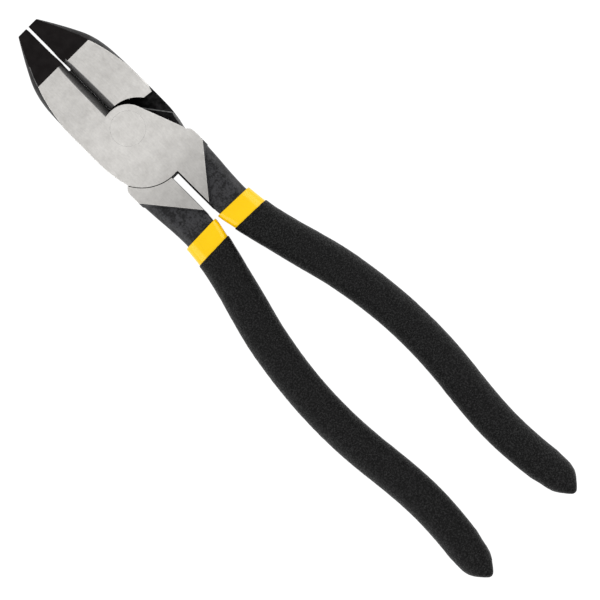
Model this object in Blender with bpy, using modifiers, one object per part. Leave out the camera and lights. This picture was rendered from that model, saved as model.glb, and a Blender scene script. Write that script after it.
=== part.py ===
"""Lineman pliers, closed and lying flat: two identical forged halves, a flush rivet, and two dips of
soft plastic on each handle. Metres, +Z up, tip towards +Y. The origin is on the pivot's axis, in the
plane of the rear joint face. The rear half is the front half turned over about the long axis."""

import bisect
import math

import bmesh
import bpy

# Joint and head
THICKNESS = 0.0150
MIDDLE = THICKNESS / 2
LAP_CLEARANCE = 0.0001  # from the middle plane to each lap
HUB_RADIUS = 0.00805
LAP_CORNER = (0.0131, -0.0118)  # on the straight edge that runs down from the hub
WAIST_Y = -0.0130
TIP_Y = 0.0467
NOSE_START_Y = 0.0300
TIP_THICKNESS = 0.0105
SLIT_HALF_WIDTH = 0.0012
BESIDE = 0.0155  # just past the head's sides, for outlines
FAR = 0.0300  # past every surface of the head, for cutters
OVERRUN = 0.0004  # how far one cut runs on into another

# (y, half-width) along the jaws and round the shoulder
JAW_SIDE = [
    (WAIST_Y, 0.0132),
    (-0.0090, 0.0141),
    (-0.0040, 0.0147),
    (0.0060, 0.0148),
    (0.0140, 0.01475),
    (0.0200, 0.01455),
    (0.0240, 0.01427),
    (0.0280, 0.0136),
    (0.0320, 0.01235),
    (0.0360, 0.01042),
    (0.0400, 0.00827),
    (0.0440, 0.00597),
    (TIP_Y, 0.00435),
]
SHOULDER_SIDE = [(-0.0160, 0.0148), (-0.0146, 0.0146), (WAIST_Y, 0.0132)]

# The sides are rounded from face to face: (y, how far a ground face falls short of the widest line)
SIDE_DRAFT = [
    (0.0150, 0.0),
    (0.0200, 0.0006),
    (0.0250, 0.0013),
    (NOSE_START_Y, 0.0018),
    (0.0370, 0.0013),
    (0.0430, 0.0007),
    (TIP_Y, 0.0003),
]
SIDE_ROUNDING = 2.2  # the power of the height that the draft grows with
SIDE_LEVELS = (-1, -0.7, -0.35, 0.35, 0.7, 1)

# Sections of the head, from the tip down past the end of the ground faces
HEAD_STATIONS = [TIP_Y, 0.0440, 0.0400, 0.0360, 0.0330, NOSE_START_Y]
HEAD_STATIONS += [0.0275, 0.0250, 0.0225, 0.0200, 0.0150, 0.0060, -0.0040]
HEAD_STATIONS += [-0.0075, -0.0105, WAIST_Y, -0.0146, -0.0160, -0.0400]

# Cutters and gripping faces of the jaws
NOSE_GAP = 0.0009
CUTTER_GAP = 0.0002
CUTTER_END_Y = 0.0275
GAP_END_ANGLE = 257.0  # where the gap's round end meets the cutter
ACROSS = 0.00005  # how far an outline runs past the middle of the tool
GROOVE_START_Y = 0.0081
FRONT_HALF_WIDTHS = (0.00236, 0.00178)  # of the groove beside the cutter, at its two ends
REAR_HALF_WIDTHS = (0.00216, 0.00162)
KNIFE_WIDTH = 0.00045
KNIFE_DEPTH = 0.0030
KNIFE_LAND = 0.0001  # half the blunt width of each cutter's edge

# The jaw's lower edge and the seam below the lap are arcs: centre and radius
JAW_ARC = ((0.0012, -0.0036), 0.01195)
JAW_CORNER = (0.0110, 0.0036)
JAW_FOOT = (0.0146, 0.0030)
SEAM_ARC = ((0.0002, -0.0062), 0.01505)
SEAM_GAP = 0.0002
HUB_STEPS = 10
JAW_STEPS = 8
SEAM_STEPS = 10
GAP_STEPS = 4

# The ground face ends in a straight line across the tang, and the forged neck below it is thinner
FACE_END = ((0.0148, -0.0198), (0.0014, -0.0362))

# Rivet
RIVET_RADIUS = 0.00475
RIVET_HEAD_RADIUS = 0.00585
RIVET_HEAD_DEPTH = 0.0018
RIVET_CLEARANCE = 0.0001
HOLE_OVERRUN = 0.0020  # how far the hole's cutter passes each face
RIVET_SIDES = 48

# Handle bar: (y, x of the centre line), (y, half-width of the steel) and (y, half-thickness)
CENTRE_LINE = [
    (-0.1886, 0.0193),
    (-0.1800, 0.01935),
    (-0.1740, 0.01865),
    (-0.1670, 0.0179),
    (-0.1580, 0.0174),
    (-0.1500, 0.01757),
    (-0.1400, 0.01842),
    (-0.1300, 0.0195),
    (-0.1210, 0.0201),
    (-0.1130, 0.0202),
    (-0.1050, 0.01992),
    (-0.0970, 0.0192),
    (-0.0890, 0.0181),
    (-0.0800, 0.01645),
    (-0.0700, 0.0139),
    (-0.0600, 0.01125),
    (-0.0520, 0.0093),
    (-0.0460, 0.00815),
    (-0.0410, 0.00748),
    (-0.0340, 0.0074),
    (-0.0220, 0.0079),
]
BAR_HALF_WIDTH = [
    (-0.1886, 0.0050),
    (-0.1700, 0.00507),
    (-0.1580, 0.0052),
    (-0.1400, 0.00527),
    (-0.1000, 0.0053),
    (-0.0720, 0.00553),
    (-0.0600, 0.00535),
    (-0.0520, 0.00545),
    (-0.0470, 0.00565),
    (-0.0430, 0.0059),
    (-0.0390, 0.00605),
    (-0.0220, 0.0067),
]
BAR_HALF_THICKNESS = [(-0.1886, 0.0048), (-0.0500, 0.0050), (-0.0420, 0.0052), (-0.0220, 0.0064)]
BAR_CORNER = [(-0.1886, 0.0030), (-0.0440, 0.0030), (-0.0360, 0.0020), (-0.0220, 0.0020)]
BAR_START = ((0.00118, -0.0226), (0.01475, -0.0175))
NECK_Y = -0.0280  # where the neck's rings become level
V_START_Y = -0.1780
HANDLE_STEPS = 16
BAR_END_Y = -0.1857
END_HALF_ANGLE = math.radians(31.8)  # of the V that each handle ends in
END_ROUNDING = 0.0010  # of the V's point
END_STATIONS = (0.0060, 0.0030, 0.0012, 0.0003)  # above the end of each layer
BEVELLED_END = 0.0025
CORNER_SHARE = 0.9  # the most of a half-width or half-thickness that a corner's radius takes
CORNER_STEPS = 3
FIRST_CORNER = 0.0020  # of the bar where it starts inside the head
LEAN_STEP = 0.0010  # to either side, where the centre line's lean is measured

# Dips: how far each surface stands off the steel, and where each dip starts and ends
SLEEVE_SURFACES = (0.00012, 0.00075)
GRIP_SURFACES = (0.00087, 0.00125)
SLEEVE_TOP_Y = -0.0411
GRIP_TOP_Y = -0.0480
DIP_LINE_SLOPE = 0.03  # of every section of a handle, down towards the outside
SHARPEST_SMOOTH = math.radians(30)

HINGE = "front_pivot"
PARTS = "lineman_pliers"
CUTTERS = "cutters"

# Colour, metallic and roughness of each material
STEEL = ("forged_steel", (0.55, 0.54, 0.52), 1.0, 0.40)
YELLOW = ("yellow_plastic", (0.98, 0.62, 0.02), 0.0, 0.30)
BLACK = ("black_plastic", (0.02, 0.02, 0.02), 0.0, 0.70)


def smooth(points, at):
    """The value at a place on the smooth curve through (place, value) points in rising order."""
    places = [p[0] for p in points]
    i = min(max(bisect.bisect_right(places, at) - 1, 0), len(points) - 2)
    (a, value_a), (b, value_b) = points[i], points[i + 1]
    before = points[max(i - 1, 0)]
    after = points[min(i + 2, len(points) - 1)]
    slope_a = (value_b - before[1]) / (b - before[0])
    slope_b = (after[1] - value_a) / (after[0] - a)
    t = min(max((at - a) / (b - a), 0.0), 1.0)
    bend_a = slope_a * (b - a) * t * (1 - t) ** 2
    bend_b = slope_b * (b - a) * t * t * (t - 1)
    return value_a * (1 - t) ** 2 * (1 + 2 * t) + value_b * t * t * (3 - 2 * t) + bend_a + bend_b


def linear(points, at):
    """The value at a place on the straight runs through (place, value) points in rising order."""
    places = [p[0] for p in points]
    i = min(max(bisect.bisect_right(places, at) - 1, 0), len(points) - 2)
    (a, value_a), (b, value_b) = points[i], points[i + 1]
    t = min(max((at - a) / (b - a), 0.0), 1.0)
    return value_a + (value_b - value_a) * t


def material(settings):
    name, colour, metallic, roughness = settings
    made = bpy.data.materials.get(name)
    if made is None:
        made = bpy.data.materials.new(name)
        made.use_nodes = True
        shader = made.node_tree.nodes["Principled BSDF"]
        shader.inputs["Base Color"].default_value = (*colour, 1.0)
        shader.inputs["Metallic"].default_value = metallic
        shader.inputs["Roughness"].default_value = roughness
    return made


def add_object(name, mesh, collection):
    made = bpy.data.objects.new(name, mesh)
    bpy.data.collections[collection].objects.link(made)
    if collection == CUTTERS:
        made.hide_render = True
        made.display_type = "WIRE"
    return made


def add_mesh(name, bm, collection):
    """A new object from a closed bmesh, with its faces turned outwards."""
    bmesh.ops.recalc_face_normals(bm, faces=bm.faces)
    mesh = bpy.data.meshes.new(name)
    bm.to_mesh(mesh)
    bm.free()
    return add_object(name, mesh, collection)


def skin_rings(bm, rings):
    """Joins each ring of points to the next with faces, and returns the rings' vertices."""
    made = [[bm.verts.new(point) for point in ring] for ring in rings]
    for lower, upper in zip(made, made[1:]):
        for i in range(len(lower)):
            j = (i + 1) % len(lower)
            bm.faces.new((lower[i], lower[j], upper[j], upper[i]))
    return made


def lofted(name, rings, collection):
    """A closed solid through rings of points."""
    bm = bmesh.new()
    made = skin_rings(bm, rings)
    bm.faces.new(made[0])
    bm.faces.new(made[-1])
    return add_mesh(name, bm, collection)


def prism(name, outline, low, high):
    """A cutter with an outline of (x, y) points, from one height to another."""
    curve = bpy.data.curves.new(name, "CURVE")
    curve.dimensions = "2D"
    curve.fill_mode = "BOTH"
    curve.extrude = (high - low) / 2
    spline = curve.splines.new("POLY")
    spline.points.add(len(outline) - 1)
    for point, (x, y) in zip(spline.points, outline):
        point.co = (x, y, 0, 1)
    spline.use_cyclic_u = True
    source = add_object(name + "_curve", curve, CUTTERS)
    source.location.z = (high + low) / 2
    bpy.context.view_layer.update()
    return from_evaluated(name, source)


def from_evaluated(name, source):
    """The evaluated shape of an object as a plain welded mesh, in place of the object."""
    graph = bpy.context.evaluated_depsgraph_get()
    mesh = bpy.data.meshes.new_from_object(source.evaluated_get(graph))
    mesh.transform(source.matrix_world)
    bm = bmesh.new()
    bm.from_mesh(mesh)
    bmesh.ops.remove_doubles(bm, verts=bm.verts, dist=1e-6)
    bmesh.ops.recalc_face_normals(bm, faces=bm.faces)
    bm.to_mesh(mesh)
    bm.free()
    collection = source.users_collection[0].name
    bpy.data.objects.remove(source)
    return add_object(name, mesh, collection)


def arc(centre, radius, start, end, steps):
    """Points on an arc, from one angle in degrees to another."""
    points = []
    for i in range(steps + 1):
        angle = math.radians(start + (end - start) * i / steps)
        points.append((centre[0] + radius * math.cos(angle), centre[1] + radius * math.sin(angle)))
    return points


def mirrored(points):
    """The same outline on the other side of the middle."""
    return [(-x, y) for x, y in points]


def hub_edge():
    """The lap's edge: round the hub from its top, then straight down past the waist."""
    x, y = LAP_CORNER
    tangent = math.degrees(math.atan2(y, x) + math.acos(HUB_RADIUS / math.hypot(x, y)))
    hub = arc((0, 0), HUB_RADIUS, 90, tangent, HUB_STEPS)
    past_y = WAIST_Y + OVERRUN
    past_x = x + (past_y - y) * (x - hub[-1][0]) / (y - hub[-1][1])
    return hub + [(past_x, past_y)]


def jaw_edge():
    """The jaw's lower edge, from just across the middle out past its side."""
    (x, y), radius = JAW_ARC
    end = math.degrees(math.atan2(JAW_CORNER[1] - y, JAW_CORNER[0] - x))
    inner = [(-ACROSS, y + radius + OVERRUN), (-ACROSS, y + radius)]
    return inner + arc((x, y), radius, 90, end, JAW_STEPS) + [JAW_FOOT, (FAR, JAW_FOOT[1])]


def seam_edge(gap, slit_x):
    """The seam under the lap, from just past the waist on the left to an x near the slit."""
    (x, y), radius = SEAM_ARC
    radius += gap
    start = 180 + math.degrees(math.asin((y - WAIST_Y - OVERRUN) / radius))
    end = 270 + math.degrees(math.asin((slit_x - x) / radius))
    return arc((x, y), radius, start, end, SEAM_STEPS)


def head_section(y):
    """Points (x, z) round the whole head at y, both jaws together."""
    half_width = smooth(JAW_SIDE, y) if y > WAIST_Y else linear(SHOULDER_SIDE, y)
    half_thickness = linear([(NOSE_START_Y, MIDDLE), (TIP_Y, TIP_THICKNESS / 2)], y)
    draft = linear(SIDE_DRAFT, y)
    side = []
    for level in SIDE_LEVELS:
        side.append((half_width - draft * abs(level) ** SIDE_ROUNDING, level * half_thickness))
    return side + mirrored(reversed(side))


def head_blank():
    """Both halves of the head as one block, from the tip down past the end of the ground faces."""
    rings = [[(x, y, z + MIDDLE) for x, z in head_section(y)] for y in HEAD_STATIONS]
    return lofted("front_half_head", rings, PARTS)


def half_outline():
    """The front half's head seen from above: left jaw, hub and lap, and the ground part of the tang."""
    top = TIP_Y + OVERRUN
    gap_end = arc((0, CUTTER_END_Y), NOSE_GAP / 2, 180, GAP_END_ANGLE, GAP_STEPS)
    cutter = [(-CUTTER_GAP / 2, gap_end[-1][1]), (-CUTTER_GAP / 2, HUB_RADIUS + CUTTER_GAP / 2)]
    hub = hub_edge()
    (x_a, y_a), (x_b, y_b) = FACE_END
    slope = (y_b - y_a) / (x_b - x_a)
    face_end = [(x, y_a + slope * (x - x_a)) for x in (BESIDE, SLIT_HALF_WIDTH)]
    seam = seam_edge(0, SLIT_HALF_WIDTH)[::-1]
    outline = [(-FAR, top), (-NOSE_GAP / 2, top)] + gap_end[:-1] + cutter + hub
    return outline + [(BESIDE, hub[-1][1])] + face_end + seam + [(-FAR, seam[-1][1])]


def rear_recess_outline():
    """Behind, the room for the other half's lap, between the jaw's lower edge and the seam."""
    jaw = mirrored(jaw_edge())
    seam = mirrored(seam_edge(SEAM_GAP, -SLIT_HALF_WIDTH + OVERRUN))
    inner = seam[-1][0]
    return [(FAR, jaw[0][1])] + jaw + [(-FAR, -FAR), (inner, -FAR)] + seam[::-1] + [(FAR, seam[0][1])]


def groove(name, side, start_y, half_widths):
    """The V beside the cutter on one face. side is 1 in front and -1 behind."""
    rings = []
    for y, half_width in zip((start_y, NOSE_START_Y - CUTTER_GAP), half_widths):
        slope = (half_width - KNIFE_WIDTH) / (MIDDLE - KNIFE_DEPTH)
        knife_slope = (KNIFE_DEPTH - KNIFE_LAND) / (KNIFE_WIDTH - CUTTER_GAP / 2)
        section = [
            (OVERRUN, MIDDLE + OVERRUN),
            (-half_width - slope * OVERRUN, MIDDLE + OVERRUN),
            (-KNIFE_WIDTH, KNIFE_DEPTH),
            (OVERRUN, KNIFE_DEPTH - knife_slope * (KNIFE_WIDTH + OVERRUN)),
        ]
        rings.append([(x, y, MIDDLE + side * z) for x, z in section])
    return lofted(name, rings, CUTTERS)


def turned(name, profile, collection):
    """A solid of revolution about Z from (radius, z) points, top to bottom."""
    mesh = bpy.data.meshes.new(name)
    edges = [(i, i + 1) for i in range(len(profile) - 1)]
    mesh.from_pydata([(radius, 0, z) for radius, z in profile], edges, [])
    made = add_object(name, mesh, collection)
    screw = made.modifiers.new("turn", "SCREW")
    screw.steps = RIVET_SIDES
    screw.render_steps = RIVET_SIDES
    screw.use_merge_vertices = True
    screw.merge_threshold = 1e-6
    return made


def rivet_profile(clearance, overrun):
    """The rivet's outline: a shank with a countersunk head flush with each face."""
    head = RIVET_HEAD_RADIUS + clearance
    shank = RIVET_RADIUS + clearance
    top = [(0, THICKNESS + overrun), (head, THICKNESS + overrun)]
    if overrun:
        top.append((head, THICKNESS))
    top.append((shank, THICKNESS - RIVET_HEAD_DEPTH))
    return top + [(radius, THICKNESS - z) for radius, z in reversed(top)]


def cut(target, cutter, operation="DIFFERENCE"):
    modifier = target.modifiers.new(cutter.name, "BOOLEAN")
    modifier.object = cutter
    modifier.operation = operation
    modifier.solver = "EXACT"


def end_half_width(y, end_y, radius):
    """Half-width of the V at a handle's end, whose point is rounded."""
    to_centre = radius / math.sin(END_HALF_ANGLE)
    along = y - (end_y - (to_centre - radius))
    if along > to_centre - radius * math.sin(END_HALF_ANGLE):
        return along * math.tan(END_HALF_ANGLE)
    return math.sqrt(max(radius ** 2 - (to_centre - along) ** 2, 0.0))


def corner_points(half_x, half_z, radius):
    """Points round a rectangle with round corners, about its centre."""
    points = []
    for start, x, z in ((0, 1, 1), (90, -1, 1), (180, -1, -1), (270, 1, -1)):
        centre = (x * (half_x - radius), z * (half_z - radius))
        points += arc(centre, radius, start, start + 90, CORNER_STEPS)
    return points


def handle_ring(y, standoff, end_y):
    """The handle's outline at y, standing off the steel bar's surface."""
    lean = (smooth(CENTRE_LINE, y + LEAN_STEP) - smooth(CENTRE_LINE, y - LEAN_STEP)) / (2 * LEAN_STEP)
    half_x = (smooth(BAR_HALF_WIDTH, y) + standoff) * math.hypot(1, lean)
    half_x = min(half_x, end_half_width(y, end_y, END_ROUNDING + standoff))
    half_z = linear(BAR_HALF_THICKNESS, y) + standoff
    short = max(BEVELLED_END - (y - end_y), 0.0)
    half_z -= BEVELLED_END - math.sqrt(BEVELLED_END ** 2 - short ** 2)
    radius = min(linear(BAR_CORNER, y) + standoff, CORNER_SHARE * half_x, CORNER_SHARE * half_z)
    ring = []
    for x, z in corner_points(half_x, half_z, radius):
        ring.append((smooth(CENTRE_LINE, y) + x, y - DIP_LINE_SLOPE * x, MIDDLE + z))
    return ring


def handle_rings(start_y, standoff):
    """Rings along the handle, from a start down to the end of that layer."""
    end_y = BAR_END_Y - standoff / math.sin(END_HALF_ANGLE)
    span = V_START_Y - GRIP_TOP_Y
    stations = [NECK_Y, (NECK_Y + SLEEVE_TOP_Y) / 2, SLEEVE_TOP_Y]
    stations += [GRIP_TOP_Y + span * i / HANDLE_STEPS for i in range(HANDLE_STEPS + 1)]
    stations += [end_y + above for above in END_STATIONS]
    return [handle_ring(y, standoff, end_y) for y in stations if y <= start_y]


def handle_bar():
    """The forged neck and bar, starting inside the head on a slant that follows the seam."""
    rings = handle_rings(NECK_Y, 0)
    (inner_x, inner_y), (outer_x, outer_y) = BAR_START
    centre_x = (outer_x + inner_x) / 2
    first = []
    for x, z in corner_points((outer_x - inner_x) / 2, linear(BAR_HALF_THICKNESS, inner_y), FIRST_CORNER):
        y = inner_y + (outer_y - inner_y) * (centre_x + x - inner_x) / (outer_x - inner_x)
        first.append((centre_x + x, y, MIDDLE + z))
    return lofted("handle_bar", [first] + rings, CUTTERS)


def dip(name, start_y, surfaces):
    """A closed-end sleeve between two surfaces that stand off the steel, open at its top."""
    inner, outer = surfaces
    bm = bmesh.new()
    outside = skin_rings(bm, handle_rings(start_y, outer))
    inside = skin_rings(bm, handle_rings(start_y, inner))
    bm.faces.new(outside[-1])
    bm.faces.new(inside[-1])
    for i in range(len(outside[0])):
        j = (i + 1) % len(outside[0])
        bm.faces.new((outside[0][i], outside[0][j], inside[0][j], inside[0][i]))
    return add_mesh(name, bm, PARTS)


def front_half():
    """The left jaw, the front lap and the right handle, as one forging."""
    head = head_blank()
    low, high = MIDDLE - FAR, MIDDLE + FAR
    cut(head, prism("half_outline", half_outline(), low, high), "INTERSECT")
    cut(head, prism("rear_recess", rear_recess_outline(), low, MIDDLE + LAP_CLEARANCE))
    cut(head, groove("front_groove", 1, GROOVE_START_Y, FRONT_HALF_WIDTHS))
    cut(head, groove("rear_groove", -1, 0, REAR_HALF_WIDTHS))
    cut(head, handle_bar(), "UNION")
    cut(head, turned("rivet_hole", rivet_profile(RIVET_CLEARANCE, HOLE_OVERRUN), CUTTERS))
    return from_evaluated("front_half", head)


def turned_over(name, source):
    """A copy that shares its mesh, turned half a turn about the tool's long axis."""
    made = add_object(name, source.data, PARTS)
    made.location.z = THICKNESS
    made.rotation_euler.y = math.pi
    return made


def main():
    for leftover in list(bpy.data.objects):
        bpy.data.objects.remove(leftover)
    for name in (PARTS, CUTTERS):
        bpy.context.scene.collection.children.link(bpy.data.collections.new(name))

    front = [front_half()]
    front.append(dip("right_yellow_sleeve", SLEEVE_TOP_Y, SLEEVE_SURFACES))
    front.append(dip("right_black_grip", GRIP_TOP_Y, GRIP_SURFACES))
    for piece, settings in zip(front, (STEEL, YELLOW, BLACK)):
        piece.data.materials.clear()
        piece.data.materials.append(material(settings))
    names = ("rear_half", "left_yellow_sleeve", "left_black_grip")
    for name, piece in zip(names, front):
        turned_over(name, piece)

    rivet = turned("pivot_rivet", rivet_profile(0, 0), PARTS)
    rivet.data.materials.append(material(STEEL))

    hinge = bpy.data.objects.new(HINGE, None)
    bpy.data.collections[PARTS].objects.link(hinge)
    for piece in front:
        piece.parent = hinge
    for piece in bpy.data.collections[PARTS].objects:
        if piece.type == "MESH":
            piece.data.shade_smooth()
            piece.data.set_sharp_from_angle(angle=SHARPEST_SMOOTH)


main()
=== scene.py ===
"""The looks of the lineman pliers: two forged halves with ground faces, a flush rivet, and a yellow and
a black dip on each handle. Each piece stands for one CAD node and is built round the CAD's own outlines,
in metres, with finer curves, rounded edges, teeth and grain."""

import bisect
import math

import bmesh
import bpy
import numpy as np
from mathutils import Matrix, Vector, noise


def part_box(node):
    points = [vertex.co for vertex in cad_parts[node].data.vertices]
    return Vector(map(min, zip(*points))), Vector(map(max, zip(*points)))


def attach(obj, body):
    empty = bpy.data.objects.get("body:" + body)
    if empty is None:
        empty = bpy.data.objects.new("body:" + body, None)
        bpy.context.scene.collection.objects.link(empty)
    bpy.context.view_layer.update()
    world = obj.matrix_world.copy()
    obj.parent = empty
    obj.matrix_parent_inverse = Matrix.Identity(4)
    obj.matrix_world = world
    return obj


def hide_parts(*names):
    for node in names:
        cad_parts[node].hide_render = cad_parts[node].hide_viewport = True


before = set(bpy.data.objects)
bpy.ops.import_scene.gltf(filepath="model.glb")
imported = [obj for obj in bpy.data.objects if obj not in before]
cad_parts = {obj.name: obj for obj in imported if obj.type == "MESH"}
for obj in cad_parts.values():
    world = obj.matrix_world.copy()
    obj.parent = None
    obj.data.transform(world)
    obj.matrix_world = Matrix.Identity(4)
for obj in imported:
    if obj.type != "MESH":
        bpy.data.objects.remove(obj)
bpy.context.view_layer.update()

# ---------------------------------------------------------------- sizes, from the frame where it has them
HALF_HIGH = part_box("front_half")[1]
THICKNESS = HALF_HIGH.z
MIDDLE = THICKNESS / 2
TIP_Y = HALF_HIGH.y
GRIP_TOP_Y = -0.0480
SLEEVE_TOP_Y = -0.0411

# Head
LAP_CLEARANCE = 0.0001
HUB_RADIUS = 0.00805
LAP_CORNER = (0.0131, -0.0118)
WAIST_Y = -0.0130
NOSE_START_Y = 0.0300
NOSE_START_IN_FRONT = 0.03035
NOSE_START_BEHIND = 0.0297
TIP_THICKNESS = 0.0105
SLIT_HALF_WIDTH = 0.0012

# Places past the head's side and well clear of the tool, how far a cutter runs past what it cuts, and how
# close counts as touching
BESIDE = 0.0155
FAR = 0.0300
OVERRUN = 0.0004
NEAR = 0.00002

# The head's half-width along the tool
JAW_SIDE = [
    (WAIST_Y, 0.0132),
    (-0.0090, 0.0141),
    (-0.0040, 0.0147),
    (0.0060, 0.0148),
    (0.0140, 0.01475),
    (0.0200, 0.01455),
    (0.0240, 0.01427),
    (0.0280, 0.0136),
    (0.0320, 0.01235),
    (0.0360, 0.01042),
    (0.0400, 0.00827),
    (0.0440, 0.00597),
    (TIP_Y, 0.00435),
]
# How far the ground face falls short of the widest line, along the jaws, and how that grows across the side
DRAFT_START_Y = 0.0150
SIDE_DRAFT = [
    (0.0, 0.0),
    (DRAFT_START_Y, 0.0),
    (0.0200, 0.0006),
    (0.0250, 0.0013),
    (0.0300, 0.0018),
    (0.0370, 0.0013),
    (0.0430, 0.0007),
    (TIP_Y, 0.0003),
]
SIDE_ROUNDING = 2.2
SIDE_LEVELS = 15
SHOULDER_SIDE = [(-0.0400, 0.0148), (-0.0160, 0.0148), (-0.0146, 0.0146), (WAIST_Y, 0.0132)]

# Stations down the head: the start and end of each stretch and how many it has, then those of the shoulder
HEAD_STRETCHES = [
    (TIP_Y, NOSE_START_IN_FRONT, 18),
    (NOSE_START_BEHIND, DRAFT_START_Y, 14),
    (DRAFT_START_Y, -0.0020, 5),
    (-0.0020, WAIST_Y, 10),
]
SHOULDER_STATIONS = [-0.0146, -0.0152, -0.0160, -0.0400]
HEAD_END_Y = -0.0395

# Slit between the jaws: how far each gripping face is from the middle, and the cutters below it
NOSE_GAP = [
    (0.0275, 0.00040),
    (0.0292, 0.00036),
    (0.0310, 0.00029),
    (0.0328, 0.00029),
    (0.0345, 0.00040),
    (0.0365, 0.00048),
    (0.0480, 0.00050),
]
GAP_END_ANGLE = 268
CUTTER_GAP = 0.00001
GROOVE_START_Y = 0.0081
GROOVE_END_Y = 0.0304
FRONT_GROOVE = [(GROOVE_START_Y, 0.00236), (0.0200, 0.00226), (0.0270, 0.00205), (GROOVE_END_Y, 0.00178)]
REAR_GROOVE = [(0.0, 0.00216), (0.0200, 0.00200), (0.0270, 0.00182), (GROOVE_END_Y, 0.00162)]
KNIFE_WIDTH = 0.00030
KNIFE_DEPTH = 0.0030
KNIFE_LAND = 0.00005

# Arcs of the joint: centre and radius
JAW_ARC = ((0.0012, -0.0036), 0.01195)
JAW_CORNER = (0.0110, 0.0036)
JAW_FOOT = (0.0146, 0.0030)
SEAM_ARC = ((0.0002, -0.0062), 0.01505)
SEAM_GAP = 0.0002

# The ground face's end across the tang, and the slope below it
FACE_END = ((0.0148, -0.0198), (0.0014, -0.0362))
FACE_END_DROP = 0.0026
FACE_END_RUN = 0.0012

# A shallow step across the lap, seen in the open corner of the joint, bounded by part of the jaw's arc
LAP_STEP = ((0.0076, 0.0019), (0.0155, -0.0086))
LAP_STEP_DEPTH = 0.00045
LAP_STEP_RUN = 0.00048
LAP_STEP_CORNERS = [(BESIDE, 0.0025), (0.0118, 0.0030)]
LAP_STEP_ANGLES = (66, 30)

# Bevels along the outer edge: the lap's, by its run and rise, and the chamfer off the jaw's foot
LAP_BEVEL_Y = (-0.0060, -0.0126)
LAP_BEVEL = (0.00080, 0.00035)
LAP_BEVEL_FADE = 0.0009
FOOT_CHAMFER = [(0.0024, 0.00095), (0.0052, NEAR)]

# Lower slit: the bevel down the tang's inner edge, and how far the lap's end slopes out to the middle plane
SLIT_BEVEL = 0.00057
SLIT_END_SLOPE = 0.00062

# Teeth of the gripping faces: V-grooves that stop short of the face's ends and sides
TOOTH_PITCH = 0.0012
TOOTH_DEPTH = 0.00030
TOOTH_HALF_WIDTH = TOOTH_PITCH * 0.42 * 1.3
TOOTH_OVERRUN = 0.0001
TOOTH_START_Y = NOSE_START_Y + 0.0010
TOOTH_END_Y = TIP_Y - 0.0008
TOOTH_REACH = 0.0044

EDGE_ROUNDING = 0.00016
ROUNDED_ANGLE = math.radians(28)
FLAT_ANGLE = math.radians(0.2)
MERGED_WITHIN = 0.000002
SHARP_MARGIN = 0.0001
ARC_STEPS = 40
SHORT_ARC_STEPS = 12
GRIP_STEPS = 25
GAP_END_STEPS = 10
LAP_BEVEL_STEPS = 10
TOOTH_STEPS = 12

# Rivet
RIVET_RADIUS = 0.00475
RIVET_HEAD_RADIUS = 0.00585
RIVET_HEAD_DEPTH = 0.0018
RIVET_CLEARANCE = 0.00003
RIVET_OVERRUN = 0.0020
RIVET_SIDES = 128

# Handles: the middle of the right one, and its bar's half-width and half-thickness, along the tool
CENTRE_LINE = [
    (-0.1886, 0.0193),
    (-0.1800, 0.01935),
    (-0.1740, 0.01865),
    (-0.1670, 0.0179),
    (-0.1580, 0.0174),
    (-0.1500, 0.01757),
    (-0.1400, 0.01842),
    (-0.1300, 0.0195),
    (-0.1210, 0.0201),
    (-0.1130, 0.0202),
    (-0.1050, 0.01992),
    (-0.0970, 0.0192),
    (-0.0890, 0.0181),
    (-0.0800, 0.01645),
    (-0.0700, 0.0139),
    (-0.0600, 0.01125),
    (-0.0520, 0.0093),
    (-0.0460, 0.00815),
    (-0.0410, 0.00748),
    (-0.0340, 0.0074),
    (-0.0220, 0.0079),
]
BAR_HALF_WIDTH = [
    (-0.1886, 0.0050),
    (-0.1700, 0.00507),
    (-0.1580, 0.0052),
    (-0.1400, 0.00527),
    (-0.1000, 0.0053),
    (-0.0720, 0.00553),
    (-0.0600, 0.00535),
    (-0.0520, 0.00545),
    (-0.0470, 0.00565),
    (-0.0430, 0.0059),
    (-0.0390, 0.00605),
    (-0.0220, 0.0067),
]
BAR_HALF_THICKNESS = [(-0.1886, 0.0048), (-0.0500, 0.0050), (-0.0420, 0.0052), (-0.0220, 0.0064)]

# Radius of the bar's corners on its outer and its inner side, along the tool
OUTER_CORNER = [(-0.1886, 0.0045), (-0.0520, 0.0045), (-0.0460, 0.0033), (-0.0300, 0.0028), (-0.0220, 0.0026)]
INNER_CORNER = [(-0.1886, 0.0030), (-0.0640, 0.0030), (-0.0420, 0.0012), (-0.0220, 0.0007)]

# The bar's slanted start inside the head, from its inner to its outer side
BAR_START = ((0.00118, -0.0226), (0.01475, -0.0175))
BAR_START_CORNERS = (0.0007, 0.0026)
NECK_Y = -0.0280
BEVELLED_END = 0.0025
FULLEST_CORNER = 0.92

# The rounded point of each handle's end: half-width at a distance from the end, and how fast it grows
# with the standoff
GRIP_END_Y = -0.1878
END_SHAPE = [
    (0.0, 0.0),
    (0.00008, 0.0005),
    (0.0003, 0.0009),
    (0.00065, 0.0013),
    (0.00165, 0.00225),
    (0.00365, 0.00394),
    (0.00465, 0.0046),
    (0.00565, 0.0051),
    (0.00765, 0.00566),
    (0.0200, 0.0070),
]
END_STRETCH = 1.5
END_LENGTH = 0.0080
END_STEPS = 16
END_MARGIN = 0.00001
DIP_LINE_SLOPE = 0.03

# How far the dips' inner and outer surfaces stand off the steel, and the sleeve's collar above the grip
SLEEVE_SURFACES = (0.00012, 0.00075)
COLLAR_STANDOFF = 0.00096
COLLAR_FOOT_Y = (GRIP_TOP_Y - 0.0002, GRIP_TOP_Y + 0.0001)
GRIP_SURFACES = (0.00087, 0.00125)
GRIP_GRAIN = 0.00006
SLEEVE_RIM = 0.00030
GRIP_RIM = 0.00036
RIM_STEPS = 6

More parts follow.
